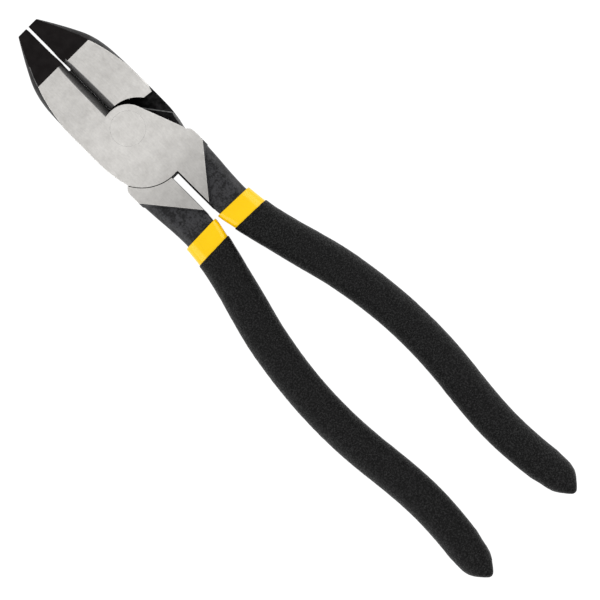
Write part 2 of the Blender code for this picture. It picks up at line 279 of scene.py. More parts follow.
# How far apart the handles' rings are, and how many points each has
BAR_SPACING = 0.0030
SLEEVE_SPACING = 0.0008
GRIP_SPACING = 0.0006
INSIDE_SPACING = 0.0040
BAR_POINTS = 72
DIP_POINTS = 96

# Painted shade on the ground steel: how bright its colour is along the tool, over a range of y. It is darkest
# down the tangs, brightest round the rivet and a little darker towards the jaws, standing in for how the
# light falls on the faces
STEEL_PAINTED_SHADE_Y = (-0.0330, 0.0310)
STEEL_PAINTED_SHADE = [
    (0.0, 0.62),
    (0.11, 0.71),
    (0.20, 0.80),
    (0.28, 0.90),
    (0.38, 0.98),
    (0.50, 1.00),
    (0.62, 0.97),
    (0.74, 0.90),
    (0.90, 0.91),
]

# ---------------------------------------------------------------- camera and light
LOOK_AT = Vector((0.0001, -0.0794, MIDDLE))
FLOOR_HALF_WIDTH = 3.0
LIGHT_SIDE = 0.80
LIGHT_HEIGHT = 0.50
LIGHT_SIZE = (0.62, 1.0)
LIGHT_RADIANCE = 2.6
WORLD_STRENGTH = 0.72
CAMERA_DISTANCE = 2.00
CAMERA_TILT = math.radians(-0.6)  # from the vertical, about the tool's long axis
CAMERA_ROLL = math.radians(-45.0)
VIEW_WIDTH = 0.1969
SENSOR_WIDTH = 36.0


def smooth(points, at):
    """The value at a place on the smooth curve through (place, value) points in rising order."""
    places = [p[0] for p in points]
    i = min(max(bisect.bisect_right(places, at) - 1, 0), len(points) - 2)
    (a, value_a), (b, value_b) = points[i], points[i + 1]
    before = points[max(i - 1, 0)]
    after = points[min(i + 2, len(points) - 1)]
    slope_a = (value_b - before[1]) / (b - before[0])
    slope_b = (after[1] - value_a) / (after[0] - a)
    t = min(max((at - a) / (b - a), 0.0), 1.0)
    bend_a = slope_a * (b - a) * t * (1 - t) ** 2
    bend_b = slope_b * (b - a) * t * t * (t - 1)
    return value_a * (1 - t) ** 2 * (1 + 2 * t) + value_b * t * t * (3 - 2 * t) + bend_a + bend_b


def linear(points, at):
    """The value at a place on the straight runs through (place, value) points in rising order."""
    return float(np.interp(at, [p[0] for p in points], [p[1] for p in points]))


def arc(centre, radius, start, end, steps):
    """Points on an arc, from one angle in degrees to another."""
    points = []
    for i in range(steps + 1):
        angle = math.radians(start + (end - start) * i / steps)
        points.append((centre[0] + radius * math.cos(angle), centre[1] + radius * math.sin(angle)))
    return points


def mirrored(points):
    return [(-x, y) for x, y in points]


# ---------------------------------------------------------------- meshes
def add_object(name, mesh):
    made = bpy.data.objects.new(name, mesh)
    bpy.context.scene.collection.objects.link(made)
    return made


def add_mesh(name, bm):
    bmesh.ops.recalc_face_normals(bm, faces=bm.faces)
    mesh = bpy.data.meshes.new(name)
    bm.to_mesh(mesh)
    bm.free()
    return add_object(name, mesh)


def skin_rings(bm, rings):
    """Joins each ring of points to the next with faces, and returns the rings' vertices."""
    made = [[bm.verts.new(point) for point in ring] for ring in rings]
    for lower, upper in zip(made, made[1:]):
        for i in range(len(lower)):
            j = (i + 1) % len(lower)
            bm.faces.new((lower[i], lower[j], upper[j], upper[i]))
    return made


def lofted(name, rings):
    """A closed solid through rings of points."""
    bm = bmesh.new()
    made = skin_rings(bm, rings)
    bm.faces.new(made[0])
    bm.faces.new(made[-1])
    return add_mesh(name, bm)


def prism(name, outline, low, high):
    """A solid with an outline of (x, y) points, from one height to another."""
    return lofted(name, [[(x, y, low) for x, y in outline], [(x, y, high) for x, y in outline]])


def cut(target, cutter, operation="DIFFERENCE"):
    """Cuts the target's own mesh with the cutter, which is used up."""
    modifier = target.modifiers.new("cut", "BOOLEAN")
    modifier.object = cutter
    modifier.operation = operation
    modifier.solver = "EXACT"
    graph = bpy.context.evaluated_depsgraph_get()
    mesh = bpy.data.meshes.new_from_object(target.evaluated_get(graph))
    target.modifiers.clear()
    target.data = mesh
    bpy.data.objects.remove(cutter)


# ---------------------------------------------------------------- head of a half
def hub_edge():
    """The lap's edge: round the hub from its top, then straight down past the waist."""
    x, y = LAP_CORNER
    tangent = math.degrees(math.atan2(y, x) + math.acos(HUB_RADIUS / math.hypot(x, y)))
    hub = arc((0, 0), HUB_RADIUS, 90, tangent, ARC_STEPS)
    past_y = WAIST_Y + OVERRUN
    past_x = x + (past_y - y) * (x - hub[-1][0]) / (y - hub[-1][1])
    return hub + [(past_x, past_y)]


def jaw_edge():
    """The jaw's lower edge, from just across the middle out past its side."""
    (x, y), radius = JAW_ARC
    end = math.degrees(math.atan2(JAW_CORNER[1] - y, JAW_CORNER[0] - x))
    inner = [(-OVERRUN / 8, y + radius + OVERRUN), (-OVERRUN / 8, y + radius)]
    return inner + arc((x, y), radius, 90, end, ARC_STEPS) + [JAW_FOOT, (FAR, JAW_FOOT[1])]


def seam_edge(gap, slit_x):
    """The seam under the lap, from just past the waist on the left to an x near the slit."""
    (x, y), radius = SEAM_ARC
    radius += gap
    start = 180 + math.degrees(math.asin((y - WAIST_Y - OVERRUN) / radius))
    end = 270 + math.degrees(math.asin((slit_x - x) / radius))
    return arc((x, y), radius, start, end, ARC_STEPS)


def head_section(y):
    """Points (x, z) round the whole head at y, both jaws together."""
    half_width = smooth(JAW_SIDE, y) if y > WAIST_Y else linear(SHOULDER_SIDE, y)
    draft = linear(SIDE_DRAFT, y)
    side = []
    for level in np.linspace(-1, 1, SIDE_LEVELS):
        fold = NOSE_START_IN_FRONT if level > 0 else NOSE_START_BEHIND
        z = level * linear([(fold, MIDDLE), (TIP_Y, TIP_THICKNESS / 2)], y)
        side.append((half_width - draft * abs(level) ** SIDE_ROUNDING, z))
    return side + [(-x, z) for x, z in reversed(side)]


def head_blank(name):
    """Both halves of the head as one block, from the tip down past the end of the ground faces."""
    stations = []
    for start, end, count in HEAD_STRETCHES:
        stations += [y for y in np.linspace(start, end, count) if not stations or y < stations[-1]]
    rings = [[(x, y, z + MIDDLE) for x, z in head_section(y)] for y in stations + SHOULDER_STATIONS]
    return lofted(name, rings)


def half_outline():
    """The front half's head seen from above: left jaw, hub and lap, and the tang."""
    end_y, radius = NOSE_GAP[0]
    grip = [(-smooth(NOSE_GAP, y), y) for y in np.linspace(TIP_Y + OVERRUN, end_y, GRIP_STEPS)]
    gap_end = arc((0, end_y), radius, 180, GAP_END_ANGLE, GAP_END_STEPS)[1:]
    cutter = [(-CUTTER_GAP / 2, gap_end[-1][1]), (-CUTTER_GAP / 2, HUB_RADIUS + CUTTER_GAP / 2)]
    hub = hub_edge()
    tang = [(BESIDE, hub[-1][1]), (BESIDE, HEAD_END_Y), (SLIT_HALF_WIDTH, HEAD_END_Y)]
    seam = seam_edge(0, SLIT_HALF_WIDTH)[::-1]
    outline = [(-FAR, TIP_Y + OVERRUN)] + grip + gap_end[:-1] + cutter + hub
    return outline + tang + seam + [(-FAR, seam[-1][1])]


def rear_recess_outline():
    """Behind, the room for the other half's lap, between the jaw's lower edge and the seam."""
    jaw = mirrored(jaw_edge())
    seam = mirrored(seam_edge(SEAM_GAP, -SLIT_HALF_WIDTH + OVERRUN))
    inner = seam[-1][0]
    return [(FAR, jaw[0][1])] + jaw + [(-FAR, -FAR), (inner, -FAR)] + seam[::-1] + [(FAR, seam[0][1])]


def face_end_cutter():
    """Everything past the line where the ground faces end, behind a wall that slopes on both faces."""
    (x_a, y_a), (x_b, y_b) = FACE_END
    along = Vector((x_b - x_a, y_b - y_a)).normalized()
    out = Vector((-along.y, along.x))
    if out.y > 0:
        out = -out
    slope = FACE_END_RUN / FACE_END_DROP
    high, low = THICKNESS + OVERRUN, -OVERRUN
    profile = [(-slope * OVERRUN, high), (FACE_END_RUN, THICKNESS - FACE_END_DROP)]
    profile += [(FACE_END_RUN, FACE_END_DROP), (-slope * OVERRUN, low), (2 * FAR, low), (2 * FAR, high)]
    rings = []
    for reach in (-FAR, 2 * FAR):
        base = Vector((x_a, y_a)) + along * reach
        rings.append([(*(base + out * d), z) for d, z in profile])
    return lofted("face_end", rings)


def lap_step_cutter():
    """A shallow step in the lap's inner face. The front half's lap faces down, so the step is cut up."""
    (x_a, y_a), (x_b, y_b) = LAP_STEP
    jaw = arc(*JAW_ARC, *LAP_STEP_ANGLES, SHORT_ARC_STEPS)
    outline = mirrored([*LAP_STEP, *LAP_STEP_CORNERS, *jaw[::-1]])
    face = MIDDLE + LAP_CLEARANCE
    low = [(x, y, face - OVERRUN) for x, y in outline]
    high = [(x, y, face + LAP_STEP_DEPTH) for x, y in outline]
    across = Vector((y_a - y_b, x_b - x_a)).normalized() * LAP_STEP_RUN
    for i in (0, 1):
        x, y, z = high[i]
        high[i] = (x - across.x, y + across.y, z)
    return lofted("lap_step", [low, high])


def side_bevel(name, face, slope, widths):
    """A bevel up from a face along the half's outer edge, with its width at each y."""
    rings = []
    for y, width in widths:
        outer = smooth(JAW_SIDE, y) + OVERRUN
        inner = outer - OVERRUN - width
        section = [(inner - OVERRUN / slope, face - OVERRUN), (outer, face - OVERRUN)]
        section.append((outer, face + (outer - inner) * slope))
        rings.append([(-x, y, z) for x, z in section])
    return lofted(name, rings)


def lap_bevel_cutter():
    """A bevel along the lower part of the lap's outer edge, on its inner face."""
    run, rise = LAP_BEVEL
    start_y, end_y = LAP_BEVEL_Y
    widths = []
    for y in np.linspace(start_y, end_y, LAP_BEVEL_STEPS):
        widths.append((y, run * min(1.0, (start_y - y) / LAP_BEVEL_FADE) + NEAR))
    return side_bevel("lap_bevel", MIDDLE + LAP_CLEARANCE, rise / run, widths)


def foot_chamfer_cutter():
    """The chamfer off the outer corner of the jaw's foot, on the rear face."""
    return side_bevel("foot_chamfer", 0.0, 1.0, FOOT_CHAMFER)


def slit_end():
    """Where the seam meets the slit."""
    (x, y), radius = SEAM_ARC
    return y - math.sqrt(radius ** 2 - (SLIT_HALF_WIDTH - x) ** 2)


def slit_bevel_cutter():
    """The bevel down the tang's inner edge, on the front face."""
    top = THICKNESS + OVERRUN
    inner = SLIT_HALF_WIDTH - OVERRUN
    reach = SLIT_BEVEL + 2 * OVERRUN
    section = [(inner, top), (inner + reach, top), (inner, top - reach)]
    ends = (HEAD_END_Y - OVERRUN, slit_end())
    return lofted("slit_bevel", [[(x, y, z) for x, z in section] for y in ends])


def slit_end_slope():
    """The lap's end in the slit, which slopes out from the face down to the middle plane."""
    end_y = slit_end()
    low, high = MIDDLE + LAP_CLEARANCE, THICKNESS - OVERRUN
    section = [(end_y + OVERRUN, high), (end_y, high), (end_y - SLIT_END_SLOPE, low), (end_y + OVERRUN, low)]
    ends = (-SLIT_HALF_WIDTH + SEAM_GAP, SLIT_HALF_WIDTH + OVERRUN)
    return lofted("slit_end", [[(x, y, z) for y, z in section] for x in ends])


def groove(name, side, widths):
    """The V beside the cutter on one face. side is 1 in front and -1 behind."""
    rings = []
    for y, half_width in widths:
        slope = (half_width - KNIFE_WIDTH) / (MIDDLE - KNIFE_DEPTH)
        knife_slope = (KNIFE_DEPTH - KNIFE_LAND) / (KNIFE_WIDTH - CUTTER_GAP / 2)
        section = [
            (OVERRUN, MIDDLE + OVERRUN),
            (-half_width - slope * OVERRUN, MIDDLE + OVERRUN),
            (-KNIFE_WIDTH, KNIFE_DEPTH),
            (OVERRUN, KNIFE_DEPTH - knife_slope * (KNIFE_WIDTH + OVERRUN)),
        ]
        rings.append([(x, y, MIDDLE + side * z) for x, z in section])
    return lofted(name, rings)


def teeth(along_z):
    """V-grooves in the gripping face, in one direction, as one cutter. They stop short of its edges."""
    bm = bmesh.new()
    low_z, high_z = MIDDLE - TOOTH_REACH, MIDDLE + TOOTH_REACH
    first, last = (TOOTH_START_Y, TOOTH_END_Y) if along_z else (low_z, high_z)
    count = int((last - first) / TOOTH_PITCH) + 1
    spots = (low_z, high_z) if along_z else np.linspace(TOOTH_START_Y, TOOTH_END_Y, TOOTH_STEPS)
    for i in range(count):
        at = first + (last - first) * (i + 0.5) / count
        rings = []
        for along in spots:
            face = -smooth(NOSE_GAP, at if along_z else along)
            above = face + TOOTH_OVERRUN
            section = [(above, at + side * TOOTH_HALF_WIDTH) for side in (-1, 1)] + [(face - TOOTH_DEPTH, at)]
            rings.append([(x, v, along) if along_z else (x, along, v) for x, v in section])
        made = skin_rings(bm, rings)
        bm.faces.new(made[0])
        bm.faces.new(made[-1])
    return add_mesh("teeth", bm)


def rivet_profile(clearance, overrun):
    """The rivet's outline: a shank with a countersunk head flush with each face."""
    head = RIVET_HEAD_RADIUS + clearance
    shank = RIVET_RADIUS + clearance
    top = [(0, THICKNESS + overrun), (head, THICKNESS + overrun)]
    if overrun:
        top.append((head, THICKNESS))
    top.append((shank, THICKNESS - RIVET_HEAD_DEPTH))
    return top + [(radius, THICKNESS - z) for radius, z in reversed(top)]


def turned(name, profile):
    """A solid of revolution about Z from (radius, z) points, top to bottom, that ends on the axis."""
    bm = bmesh.new()
    rings = []
    for radius, z in profile[1:-1]:
        angles = [2 * math.pi * i / RIVET_SIDES for i in range(RIVET_SIDES)]
        rings.append([(radius * math.cos(a), radius * math.sin(a), z) for a in angles])
    made = skin_rings(bm, rings)
    bm.faces.new(made[0])
    bm.faces.new(made[-1])
    return add_mesh(name, bm)


def stays_sharp(edge):
    """Whether an edge is on a cutter, round the rivet's head or along the lower slit."""
    places = [v.co for v in edge.verts]
    knife_end = NOSE_GAP[0][0] + SHARP_MARGIN
    on_knife = all(abs(p.x) < KNIFE_WIDTH + SHARP_MARGIN and HUB_RADIUS < p.y < knife_end for p in places)
    round_rivet = all(abs(math.hypot(p.x, p.y) - RIVET_HEAD_RADIUS) < SHARP_MARGIN for p in places)
    in_slit = all(abs(p.x - SLIT_HALF_WIDTH) < NEAR for p in places)
    return on_knife or round_rivet or in_slit


def round_edges(target, width, sharpest):
    """Merges flat faces and rounds every outer edge sharper than an angle."""
    bm = bmesh.new()
    bm.from_mesh(target.data)
    bmesh.ops.remove_doubles(bm, verts=bm.verts, dist=MERGED_WITHIN)
    bmesh.ops.dissolve_limit(bm, angle_limit=FLAT_ANGLE, verts=bm.verts, edges=bm.edges)
    edges = [e for e in bm.edges if e.is_manifold and e.is_convex and e.calc_face_angle(0) > sharpest]
    edges = [e for e in edges if not stays_sharp(e)]
    bmesh.ops.bevel(
        bm,
        geom=edges,
        offset=width,
        offset_type="OFFSET",
        segments=2,
        profile=0.5,
        affect="EDGES",
        clamp_overlap=False,
    )
    bm.to_mesh(target.data)
    bm.free()


# ---------------------------------------------------------------- handles
def rounded_loop(half_x, half_z, inner, outer, count):
    """Evenly spaced points round a rectangle whose inner and outer corners have their own radius."""
    path = [(half_x, 0.0)]
    corners = ((1, 1, outer, 0), (-1, 1, inner, 90), (-1, -1, inner, 180), (1, -1, outer, 270))
    for x, z, radius, start in corners:
        centre = (x * (half_x - radius), z * (half_z - radius))
        path += arc(centre, radius, start, start + 90, SHORT_ARC_STEPS)
    path.append((half_x, 0.0))
    path = np.array(path)
    length = np.concatenate([[0], np.cumsum(np.linalg.norm(np.diff(path, axis=0), axis=1))])
    at = np.linspace(0, length[-1], count, endpoint=False)
    return np.column_stack([np.interp(at, length, path[:, 0]), np.interp(at, length, path[:, 1])])


def handle_ring(y, standoff, end_y, count):
    """The handle's outline at y, standing off the steel bar's surface."""
    step = 0.001
    lean = (smooth(CENTRE_LINE, y + step) - smooth(CENTRE_LINE, y - step)) / (2 * step)
    half_x = (smooth(BAR_HALF_WIDTH, y) + standoff) * math.hypot(1, lean)
    half_x = min(half_x, linear(END_SHAPE, max(y - end_y, 0.0)))
    half_z = linear(BAR_HALF_THICKNESS, y) + standoff
    short = min(max(BEVELLED_END - (y - end_y), 0.0), BEVELLED_END)
    half_z -= BEVELLED_END - math.sqrt(BEVELLED_END ** 2 - short ** 2)
    largest = FULLEST_CORNER * min(half_x, half_z)
    outer = min(linear(OUTER_CORNER, y) + standoff, largest)
    inner = min(linear(INNER_CORNER, y) + standoff, largest)
    centre = smooth(CENTRE_LINE, y)
    loop = rounded_loop(half_x, half_z, inner, outer, count)
    return [(centre + x, y - DIP_LINE_SLOPE * x, MIDDLE + z) for x, z in loop]


def end_stations(end_y, spacing, start_y):
    """Stations from a start down to an end, closing up towards the rounded point."""
    near = end_y + END_LENGTH
    count = max(round((start_y - near) / spacing), 1)
    stations = [start_y + (near - start_y) * i / count for i in range(count)]
    for i in range(END_STEPS + 1):
        stations.append(end_y + END_LENGTH * (1 - math.sin(math.pi / 2 * i / END_STEPS)) + END_MARGIN)
    return stations


def layer_rings(start_y, standoff, spacing, count, rim=0.0, collar=0.0):
    """Rings along a handle from a start to its end. rim rounds the layer's top edge, and collar is
    the standoff of the part above the grip."""
    end_y = GRIP_END_Y + (GRIP_SURFACES[1] - standoff) * END_STRETCH
    rings = []
    top = collar or standoff
    foot = list(zip(COLLAR_FOOT_Y, (standoff, top)))
    for i in range(RIM_STEPS if rim else 0):
        angle = math.pi / 2 * i / RIM_STEPS
        inset = rim * (1 - math.sin(angle))
        rings.append(handle_ring(start_y - rim * (1 - math.cos(angle)), top - inset, end_y, count))
    for y in end_stations(end_y, spacing, start_y - rim):
        rings.append(handle_ring(y, linear(foot, y), end_y, count))
    return rings


def handle_bar():
    """The forged neck and bar, starting inside the head on a slant that follows the seam."""
    rings = layer_rings(NECK_Y, 0, BAR_SPACING, BAR_POINTS)
    (inner_x, inner_y), (outer_x, outer_y) = BAR_START
    centre_x = (outer_x + inner_x) / 2
    first = []
    half_z = linear(BAR_HALF_THICKNESS, inner_y)
    for x, z in rounded_loop((outer_x - inner_x) / 2, half_z, *BAR_START_CORNERS, BAR_POINTS):
        y = inner_y + (outer_y - inner_y) * (centre_x + x - inner_x) / (outer_x - inner_x)
        first.append((centre_x + x, y, MIDDLE + z))
    return lofted("handle_bar", [first] + rings)


def dip(name, start_y, surfaces, rim, spacing, collar=0.0):
    """A closed-end sleeve between two surfaces that stand off the steel, open at its top. Its outside's
    vertices come first, and their number is returned with it."""
    inner, outer = surfaces
    bm = bmesh.new()
    outside = skin_rings(bm, layer_rings(start_y, outer, spacing, DIP_POINTS, rim, collar))
    inside = skin_rings(bm, layer_rings(start_y, inner, INSIDE_SPACING, DIP_POINTS))
    bm.faces.new(outside[-1])
    bm.faces.new(inside[-1])
    for i in range(DIP_POINTS):
        j = (i + 1) % DIP_POINTS
        bm.faces.new((outside[0][i], outside[0][j], inside[0][j], inside[0][i]))
    return add_mesh(name, bm), len(outside) * DIP_POINTS


def grain(mesh, depth, count):
    """Raises a fine crinkle on a mesh's first vertices."""
    shift = []
    for vertex in mesh.vertices[:count]:
        coarse = noise.noise(vertex.co * 420.0)
        fine = noise.noise(vertex.co * 950.0 + Vector((3.1, 7.7, 1.3)))
        shift.append(vertex.normal * (depth * (0.9 * coarse + 0.7 * fine)))
    for vertex, move in zip(mesh.vertices, shift):
        vertex.co += move


# ---------------------------------------------------------------- materials
class Nodes:
    """A material's node tree, with short calls for the nodes that the finishes share."""

    def __init__(self, name):
        self.material = bpy.data.materials.new(name)
        self.material.use_nodes = True
        self.tree = self.material.node_tree
        self.shader = self.tree.nodes["Principled BSDF"]
        self.place = self.add("ShaderNodeTexCoord").outputs["Object"]

    def add(self, kind, **settings):
        node = self.tree.nodes.new(kind)
        for key, value in settings.items():
            setattr(node, key, value)
        return node

    def link(self, source, target):
        self.tree.links.new(source, target)

    def stretched(self, scale):
        mapping = self.add("ShaderNodeMapping")
        mapping.inputs["Scale"].default_value = scale
        self.link(self.place, mapping.inputs["Vector"])
        return mapping.outputs["Vector"]

    def noise(self, scale, detail=2.0, roughness=0.5, vector=None):
        node = self.add("ShaderNodeTexNoise")
        node.inputs["Scale"].default_value = scale
        node.inputs["Detail"].default_value = detail
        node.inputs["Roughness"].default_value = roughness
        self.link(vector or self.place, node.inputs["Vector"])
        return node.outputs["Fac"]

    def ranged(self, value, low, high, out_low, out_high):
        node = self.add("ShaderNodeMapRange")
        node.clamp = True
        for key, number in zip(("From Min", "From Max", "To Min", "To Max"), (low, high, out_low, out_high)):
            node.inputs[key].default_value = number
        self.link(value, node.inputs["Value"])
        return node.outputs["Result"]

    def maths(self, operation, a, b=None):
        node = self.add("ShaderNodeMath", operation=operation)
        for socket, value in zip(node.inputs, (a, b)):
            if value is None:
                continue
            if isinstance(value, (int, float)):
                socket.default_value = value
            else:
                self.link(value, socket)
        return node.outputs[0]

    def mix(self, factor, a, b):
        node = self.add("ShaderNodeMix", data_type="RGBA")
        self.link(factor, node.inputs["Factor"])
        for socket, value in ((node.inputs[6], a), (node.inputs[7], b)):
            if isinstance(value, tuple):
                socket.default_value = (*value, 1.0)
            else:
                self.link(value, socket)
        return node.outputs[2]

    def bump(self, height, distance, strength=1.0):
        node = self.add("ShaderNodeBump")
        node.inputs["Distance"].default_value = distance
        node.inputs["Strength"].default_value = strength
        self.link(height, node.inputs["Height"])
        return node.outputs["Normal"]

    def axis(self, name):
        node = self.add("ShaderNodeSeparateXYZ")
        self.link(self.place, node.inputs["Vector"])
        return node.outputs[name]

    def set(self, **values):
        for key, value in values.items():
            socket = self.shader.inputs[key.replace("_", " ")]
            if isinstance(value, tuple):
                socket.default_value = (*value, 1.0)
            elif isinstance(value, (int, float)):
                socket.default_value = value
            else:
                self.link(value, socket)
        return self.material


def ground_steel(name, tone):
    """Belt-ground bare steel: faint cloudy patches and fine scratches along the tool, and a painted shade
    along the tool that darkens the colour down the tangs and towards the jaws.
    """
    n = Nodes(name)
    fine = n.noise(1.0, 3.0, 0.6, n.stretched((6500.0, 500.0, 6500.0)))
    cloud = n.noise(260.0, 3.0, 0.6)
    grit = n.noise(1500.0, 3.0, 0.7)
    marks = n.maths("ADD", n.maths("MULTIPLY", fine, 0.35), n.maths("MULTIPLY", cloud, 0.35))
    marks = n.maths("ADD", marks, n.maths("MULTIPLY", grit, 0.30))
    dark = tuple(tone * c for c in (0.656, 0.638, 0.612))
    light = tuple(tone * c for c in (0.836, 0.817, 0.789))
    colour = n.mix(n.ranged(marks, 0.36, 0.64, 0.0, 1.0), dark, light)
    # Painted shade: a ramp along y scales the colour, darkest down the tangs, standing in for the light
    # falling off there
    along = n.add("ShaderNodeValToRGB")
    ramp = along.color_ramp
    for stop_at, brightness in STEEL_PAINTED_SHADE:
        stop = ramp.elements.new(stop_at) if stop_at > 0 else ramp.elements[0]
        stop.color = (brightness, brightness, brightness, 1.0)
    ramp.elements.remove(ramp.elements[-1])
    n.link(n.ranged(n.axis("Y"), *STEEL_PAINTED_SHADE_Y, 0.0, 1.0), along.inputs["Fac"])
    steel_shaded_colour = n.add("ShaderNodeVectorMath", operation="MULTIPLY")
    n.link(colour, steel_shaded_colour.inputs[0])
    n.link(along.outputs["Color"], steel_shaded_colour.inputs[1])
    return n.set(
        Base_Color=steel_shaded_colour.outputs[0],
        Metallic=1.0,
        Roughness=n.ranged(marks, 0.35, 0.65, 0.36, 0.44),
        Normal=n.bump(marks, 0.000008),
    )


def black_oxide(name, tone, gloss):
    """Blackened forged steel: dark, satin and slightly mottled, with a fine forged grain."""
    n = Nodes(name)
    patches = n.noise(420.0, 4.0, 0.6)
    grains = n.noise(1700.0, 3.0, 0.6)
    mottle = n.maths("ADD", n.maths("MULTIPLY", patches, 0.4), n.maths("MULTIPLY", grains, 0.6))
    dark = tuple(tone * c for c in (0.003, 0.003, 0.0035))
    light = tuple(tone * c for c in (0.031, 0.031, 0.034))
    colour = n.mix(n.ranged(mottle, 0.44, 0.56, 0.0, 1.0), dark, light)
    roughness = n.ranged(grains, 0.3, 0.7, 0.36, 0.55)
    normal = n.bump(grains, 0.00010, 0.9)
    return n.set(Base_Color=colour, Roughness=roughness, Normal=normal, Specular_IOR_Level=gloss)


def shaded_recess(name):
    """The lap's face in the open corner of the joint: painted shade, dead black with a few darker and lighter
    patches, and darker still towards the hub.
    """
    n = Nodes(name)
    patches = n.noise(700.0, 4.0, 0.6)
    # Painted shade: the colour falls to 0.12 of itself towards the hub, deep in the joint's corner
    hub_painted_shade = n.ranged(n.maths("ABSOLUTE", n.axis("X")), 0.0085, 0.0118, 0.12, 1.0)
    colour = n.mix(n.ranged(patches, 0.38, 0.66, 0.0, 1.0), (0.004, 0.004, 0.004), (0.022, 0.0215, 0.0215))
    recess_shaded_colour = n.add("ShaderNodeVectorMath", operation="SCALE")
    n.link(colour, recess_shaded_colour.inputs[0])
    n.link(hub_painted_shade, recess_shaded_colour.inputs["Scale"])
    return n.set(
        Base_Color=recess_shaded_colour.outputs[0],
        Roughness=0.6,
        Normal=n.bump(patches, 0.00006, 0.6),
        Specular_IOR_Level=0.03,
    )


def wear_and_highlight(name):
    """Lighter grey steel: bare on the gripping faces and their teeth, and painted highlights on the crease
    across the joint's lap and along the edge low on the nose's outer side.
    """
    n = Nodes(name)
    wear_and_sheen = n.noise(900.0, 3.0, 0.6)
    colour = n.mix(n.ranged(wear_and_sheen, 0.35, 0.65, 0.0, 1.0), (0.07, 0.070, 0.070), (0.17, 0.169, 0.168))
    return n.set(Base_Color=colour, Roughness=0.5, Metallic=0.3, Specular_IOR_Level=0.3)


def black_paint(name):
    """The nose's dull black coat."""
    n = Nodes(name)
    peel = n.noise(1300.0, 2.0, 0.5)
    patches = n.noise(400.0, 3.0, 0.5)
    cloud = n.ranged(patches, 0.35, 0.65, 0.0, 1.0)
    colour = n.mix(cloud, (0.0062, 0.0050, 0.0050), (0.0095, 0.0080, 0.0080))
    roughness = n.ranged(peel, 0.3, 0.7, 0.45, 0.6)
    return n.set(
        Base_Color=colour,
        Roughness=roughness,
        Normal=n.bump(peel, 0.00003, 0.7),
        Specular_IOR_Level=0.06,
    )


def blackened_bevel(name):
    """The cutters' bevels: blackened, with grinding marks that run down to the edge, in a grey well above
    blackened steel, painted light standing in for the light reaching the V's sides.
    """
    n = Nodes(name)
    marks = n.noise(1.0, 3.0, 0.6, n.stretched((700.0, 5200.0, 700.0)))
    # Painted light: the grey is raised above blackened steel so that the deep V beside the cutter does not
    # fall dark
    colour = n.mix(n.ranged(marks, 0.35, 0.65, 0.0, 1.0), (0.13, 0.127, 0.125), (0.25, 0.245, 0.241))
    roughness = n.ranged(marks, 0.3, 0.7, 0.4, 0.55)
    return n.set(
        Base_Color=colour,
        Metallic=0.5,
        Roughness=roughness,
        Normal=n.bump(marks, 0.00002),
    )


def yellow_vinyl(name):
    """Smooth glossy yellow dip."""
    n = Nodes(name)
    flow = n.noise(160.0, 2.0, 0.5)
    colour = n.mix(n.ranged(flow, 0.3, 0.7, 0.0, 1.0), (0.82, 0.505, 0.0002), (0.87, 0.540, 0.0004))
    roughness = n.ranged(flow, 0.3, 0.7, 0.20, 0.27)
    normal = n.bump(flow, 0.00006, 0.6)
    return n.set(
        Base_Color=colour,
        Roughness=roughness,
        Normal=normal,
        Specular_IOR_Level=0.4,
        Specular_Tint=(1.0, 0.88, 0.58),
    )


def black_vinyl(name):
    """Matte black dip with a fine crinkled grain, and painted glints: a lighter speckle in the colour on the
    grain's crests.
    """
    n = Nodes(name)
    cells = n.add("ShaderNodeTexVoronoi", feature="SMOOTH_F1")
    cells.inputs["Scale"].default_value = 1100.0
    n.link(n.place, cells.inputs["Vector"])
    wrinkles = n.noise(1900.0, 4.0, 0.65)
    pebbles = n.maths("MULTIPLY", cells.outputs["Distance"], 0.4)
    height = n.maths("ADD", pebbles, n.maths("MULTIPLY", wrinkles, 0.8))
    # Painted glints: the colour lightens where the wrinkles rise, standing in for light caught on the grain
    painted_glints = n.ranged(wrinkles, 0.495, 0.585, 0.0, 1.0)
    colour = n.mix(painted_glints, (0.0001, 0.0001, 0.0001), (0.0155, 0.0155, 0.0155))
    roughness = n.ranged(wrinkles, 0.40, 0.60, 0.50, 0.30)
    normal = n.bump(height, 0.00055, 1.0)
    return n.set(Base_Color=colour, Roughness=roughness, Normal=normal, Specular_IOR_Level=0.12)


def floor_finish(name):
    """A white board lit from behind, like a light table, so that it shows no hard shadows."""
    n = Nodes(name)
    speckle = n.noise(60.0, 3.0, 0.5)
    colour = n.mix(n.ranged(speckle, 0.3, 0.7, 0.0, 1.0), (0.11, 0.11, 0.11), (0.13, 0.13, 0.13))
    return n.set(
        Base_Color=colour,
        Roughness=0.85,
        Specular_IOR_Level=0.0,
        Emission_Color=(1.0, 1.0, 1.0),
        Emission_Strength=1.0,
    )


# ---------------------------------------------------------------- pieces
# The finishes' numbers on a half
GROUND, OXIDE, PAINT, BEVEL, RECESS, WEAR_AND_HIGHLIGHT, SHADED_OXIDE = range(7)

# How far a face's normal leans towards an axis: level, turned that way, or nearly upright
LEVEL = 0.98
TURNED = 0.3
UPRIGHT = 0.05

# Where each finish starts or ends
LAP_FACE_TOP_Y = 0.0090
# The lap crease's painted highlight lies past CREASE_X and below CREASE_TOP_Y
CREASE_X = 0.0096
CREASE_TOP_Y = 0.0010
GROOVE_X = (-0.0027, 0.0003)
GROOVE_Y = (-0.0003, GROOVE_END_Y)
GRIP_FACE_X = -0.0012
GRIP_FACE_MARGIN = 0.0002
HIGHLIGHT_END_Y = 0.0375


